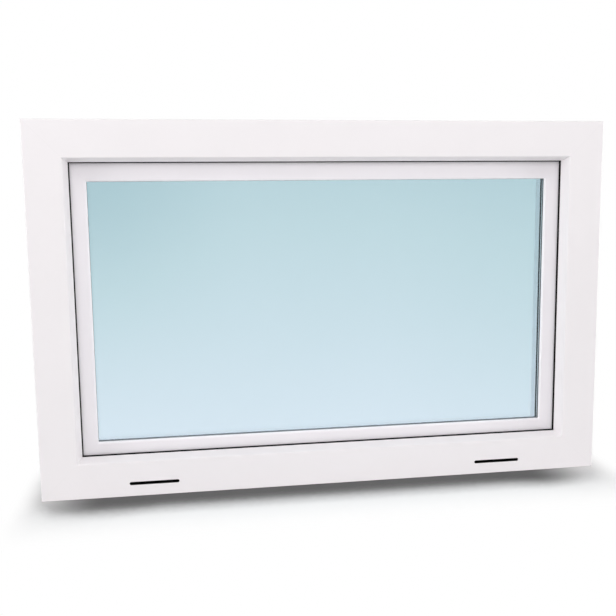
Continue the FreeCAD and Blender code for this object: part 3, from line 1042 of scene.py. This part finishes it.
@dataclass
class Hinge:
    """One hinge of the bottom rail: two leaves, their knuckles, the pin and the screws."""

    hand: Hand
    spacing: float = 460 * MM
    length: float = 66 * MM
    leaf: float = 2.5 * MM
    leaf_edge: float = 0.6 * MM
    axis_depth: float = 46 * MM
    axis_height: float = 9.9 * MM
    barrel: float = 6.5 * MM
    barrel_edge: Pair = (0.15 * MM, 0.5 * MM)
    middle_knuckle: float = 28 * MM
    knuckle_gap: float = 1.0 * MM
    knuckle_margin: float = 0.3 * MM
    frame_leaf_span: Pair = (2 * MM, 16.4 * MM)
    frame_face: float = 30 * MM
    arm: float = 5 * MM
    arm_gap: float = 0.5 * MM
    sash_leaf_span: Pair = (22.9 * MM, 44.9 * MM)
    sash_face: float = 50 * MM
    strap_setback: Pair = (0.1 * MM, 0.02 * MM)
    strap_lap: float = 1 * MM
    pin: float = 3 * MM
    pin_play: float = 0.1 * MM
    pin_head: float = 5 * MM
    pin_head_depth: float = 1.5 * MM
    pin_head_edge: float = 0.4 * MM
    screw: ScrewHead = ScrewHead()
    sash_screws: tuple[float, ...] = (-22 * MM, 0.0, 22 * MM)
    sash_screw_lift: float = 2 * MM
    frame_screws: tuple[float, ...] = (-24 * MM, 24 * MM)

    @property
    def side(self) -> str:
        """First word of the hinge's names."""
        return self.hand.name.lower()

    @property
    def middle(self) -> float:
        """Place of the hinge along X."""
        return self.hand.value * self.spacing / 2

    def on_axis(self, x: float) -> Vector:
        """Gives the point of the pin's axis at that X."""
        return Vector((x, self.axis_depth, self.axis_height))

    def build(self) -> None:
        """Builds the leaves, the pin and the screws."""
        self.frame_leaf()
        self.sash_leaf()
        self.hinge_pin()
        self.screws()

    def flat(self, form: Form, face: float, span: Pair) -> None:
        """Adds the flat of a leaf with softened edges.

        Args:
            form: The leaf.
            face: Depth of the surface that it lies on.
            span: Its lowest and highest level.
        """
        half = self.length / 2
        low, high = span
        verts = form.block(
            Vector((self.middle - half, face, low)),
            Vector((self.middle + half, face + self.leaf, high)))
        form.soften(edges_of(verts), self.leaf_edge)

    def tube(self, form: Form, start: float, length: float) -> None:
        """Adds a knuckle with softened rims.

        Args:
            form: The leaf that it belongs to.
            start: Place along X of its first end.
            length: Its length.
        """
        near, far = self.barrel_edge
        bore = self.pin + self.pin_play
        form.lathe((
            (0.0, bore),
            (0.0, self.barrel - far),
            (near, self.barrel - near),
            (far, self.barrel),
            (length - far, self.barrel),
            (length - near, self.barrel - near),
            (length, self.barrel - far),
            (length, bore)), self.on_axis(start), X_AXIS, closed=True)

    def frame_leaf(self) -> None:
        """Builds the leaf on the frame with its arm and middle knuckle."""
        form = Form()
        self.flat(form, self.frame_face, self.frame_leaf_span)
        start = self.middle - self.middle_knuckle / 2
        end = start + self.middle_knuckle
        root = self.frame_face + self.leaf / 2
        tip = self.axis_depth - self.pin - self.arm_gap
        rise = self.arm / 2
        form.block(
            Vector((start + self.knuckle_margin, root, self.axis_height - rise)),
            Vector((end - self.knuckle_margin, tip, self.axis_height + rise)))
        self.tube(form, start, self.middle_knuckle)
        form.piece(
            f"{self.side}_frame_leaf", HINGE_WHITE, [f"{self.side}_hinge_frame_leaf"])

    def sash_leaf(self) -> None:
        """Builds the leaf on the bottom rail with its straps and end knuckles."""
        form = Form()
        self.flat(form, self.sash_face, self.sash_leaf_span)
        half = self.length / 2
        knuckle = (self.length - self.middle_knuckle) / 2 - self.knuckle_gap
        behind, before = self.strap_setback
        back = self.sash_face + behind
        front = self.sash_face + self.leaf - before
        top = self.sash_leaf_span[0] + self.strap_lap
        for start in (self.middle - half, self.middle + half - knuckle):
            end = start + knuckle
            form.block(
                Vector((start + self.knuckle_margin, back, self.axis_height)),
                Vector((end - self.knuckle_margin, front, top)))
            self.tube(form, start, knuckle)
        form.piece(
            f"{self.side}_sash_leaf", HINGE_WHITE, [f"{self.side}_hinge_sash_leaf"])

    def hinge_pin(self) -> None:
        """Builds the pin with its two heads."""
        form = Form()
        end = self.length / 2
        tip = end + self.pin_head_depth
        half = (
            (tip, 0.0),
            (tip, self.pin_head - self.pin_head_edge),
            (tip - self.pin_head_edge, self.pin_head),
            (end, self.pin_head),
            (end, self.pin))
        outline = [(-s, r) for s, r in half] + [(s, r) for s, r in reversed(half)]
        form.lathe(outline, self.on_axis(self.middle), X_AXIS)
        form.piece(f"{self.side}_pin", PIN_STEEL, [f"{self.side}_hinge_pin"])

    def screws(self) -> None:
        """Builds the screws of both leaves."""
        form = Form()
        level = sum(self.sash_leaf_span) / 2 + self.sash_screw_lift
        for x in self.sash_screws:
            self.screw.add(form, Vector((self.middle + x, self.sash_face + self.leaf, level)))
        level = sum(self.frame_leaf_span) / 2
        for x in self.frame_screws:
            self.screw.add(form, Vector((self.middle + x, self.frame_face + self.leaf, level)))
        form.piece(f"{self.side}_hinge_screws", SCREW_STEEL)


# Studio

@dataclass(frozen=True)
class Lamp:
    """A soft box that lights the window and stays out of sight."""

    name: str
    place: Triple
    aim: Triple
    size: Pair
    power: float

    def hang(self) -> None:
        """Puts the lamp into the scene."""
        data = bpy.data.lights.new(self.name, "AREA")
        data.shape = "RECTANGLE"
        data.size, data.size_y = self.size
        data.energy = self.power
        lamp = bpy.data.objects.new(self.name, data)
        lamp.visible_camera = False
        lamp.visible_transmission = False
        way = Vector(self.aim) - Vector(self.place)
        turn = way.to_track_quat("-Z", "Y").to_matrix().to_4x4()
        lamp.matrix_world = Matrix.Translation(self.place) @ turn
        bpy.context.scene.collection.objects.link(lamp)


@dataclass(frozen=True)
class PaleFloor(Finish):
    """Pale floor with the window's contact shadow painted into its colour, fading to white further
    off.
    """

    label: str = "pale_floor"
    tone: Colour = grey(0.98)
    cloud_tone: Colour = grey(0.97)
    cloud_scale: float = 60
    roughness: float = 0.9
    specular: float = 0.1
    shadow: Colour = grey(0.125)
    shadow_distance: float = 140 * MM
    shadow_span: Pair = (0.77, 0.91)
    shadow_ends: Pair = (305 * MM, 450 * MM)
    shadow_drift: float = -12 * MM
    foot: Pair = (400 * MM, 30 * MM)
    side_fade: Pair = (-5 * MM, 38 * MM)
    front_fade: Pair = (20 * MM, 150 * MM)

    def shade(self, bench: Bench) -> Wire:
        """Adds the nodes of the floor, matt near the window and white to the eye elsewhere.

        Args:
            bench: The tree that takes them.

        Returns:
            The shader.
        """
        x, y, _ = bench.position()
        beside = (abs(x) - self.foot[0]).rise(*self.side_fade)
        before = (abs(y) - self.foot[1]).rise(*self.front_fade)
        near = (1 - beside) * (1 - before)
        # The contact shadow is painted: ambient occlusion darkens the floor's colour for the eye's
        # rays.
        open_air = bench.node(
            "ShaderNodeAmbientOcclusion", {"samples": 16}, {"Distance": self.shadow_distance},
            output="AO")
        along = 1 - abs(x - self.shadow_drift).rise(*self.shadow_ends)
        painted_shadow = (1 - open_air.rise(*self.shadow_span)) * along
        seen = bench.seen()
        pale = bench.mix(bench.noise(self.cloud_scale, 3), self.cloud_tone, self.tone)
        matt = bench.node("ShaderNodeBsdfPrincipled", sockets={
            "Base Color": bench.mix(seen * painted_shadow, pale, self.shadow),
            "Roughness": self.roughness,
            "Specular IOR Level": self.specular})
        white = bench.node("ShaderNodeEmission", sockets={"Color": grey(1.0), "Strength": 1.0})
        return bench.blend(seen * (1 - near), matt, white)


@dataclass
class Studio:
    """Floor, lamps, surroundings and camera."""

    ambient: float = 0.155
    floor_half: float = 6.0
    camera_place: Triple = (-0.1890, -1.0847, 0.3898)
    camera_turn: Triple = (82.7732, 0.7160, -8.6328)
    camera_near: float = 0.01
    lens: float = 45.276
    lamps: tuple[Lamp, ...] = (
        Lamp("key_softbox", (-0.7, -1.5, 1.5), (0, 0, 0.25), (1.5, 1.2), 5.3),
        Lamp("top_softbox", (0.0, -0.8, 1.9), (0, 0, 0.1), (2.4, 1.2), 13.8),
        Lamp("right_softbox", (3.0, -0.9, 0.5), (0, 0, 0.25), (1.2, 0.9), 29.5),
        Lamp("left_softbox", (-3.0, -0.9, 0.5), (0, 0, 0.25), (1.2, 0.9), 31),
        Lamp("front_softbox", (0.2, -2.6, 1.6), (0, 0, 0.25), (3.0, 0.7), 16.5),
        Lamp("back_softbox", (0.0, 1.9, 0.95), (0, 0, 0.25), (3.2, 0.9), 25),
    )

    def build(self) -> None:
        """Sets up the studio."""
        self.floor()
        for lamp in self.lamps:
            lamp.hang()
        self.surroundings()
        self.camera()
        bpy.context.scene.view_settings.view_transform = "Standard"

    def floor(self) -> None:
        """Lays the floor."""
        form = bmesh.new()
        bmesh.ops.create_grid(form, x_segments=1, y_segments=1, size=self.floor_half)
        mesh = bpy.data.meshes.new("studio_floor")
        form.to_mesh(mesh)
        form.free()
        mesh.materials.append(PaleFloor().material())
        floor = bpy.data.objects.new("studio_floor", mesh)
        bpy.context.scene.collection.objects.link(floor)

    def surroundings(self) -> None:
        """Makes the world: white to the eye, a plain level for the light."""
        world = bpy.data.worlds.new("white_studio")
        world.use_nodes = True
        bpy.context.scene.world = world
        bench = Bench(world.node_tree)
        light, shown = (
            bench.node("ShaderNodeBackground", sockets={"Strength": level, "Color": grey(1.0)})
            for level in (self.ambient, 1.0))
        surface = bench.blend(bench.seen(), light, shown)
        bench.node("ShaderNodeOutputWorld", sockets={"Surface": surface})

    def camera(self) -> None:
        """Sets the camera where the photograph was taken."""
        data = bpy.data.cameras.new("photo_camera")
        data.lens = self.lens
        data.clip_start = self.camera_near
        camera = bpy.data.objects.new("photo_camera", data)
        camera.location = self.camera_place
        camera.rotation_euler = [math.radians(turn) for turn in self.camera_turn]
        bpy.context.scene.collection.objects.link(camera)
        bpy.context.scene.camera = camera


def write_sizes() -> None:
    """Brings the view layer up to date."""
    bpy.context.view_layer.update()


def main() -> None:
    """Builds the window and its studio in order."""
    logging.basicConfig(level=logging.INFO, format="%(name)s: %(message)s")
    Studio().build()
    OuterFrame().build()
    Sash().build()
    Glazing().build()
    Handle().build()
    for hand in Hand:
        Hinge(hand).build()
    write_sizes()


if __name__ == "__main__":
    main()
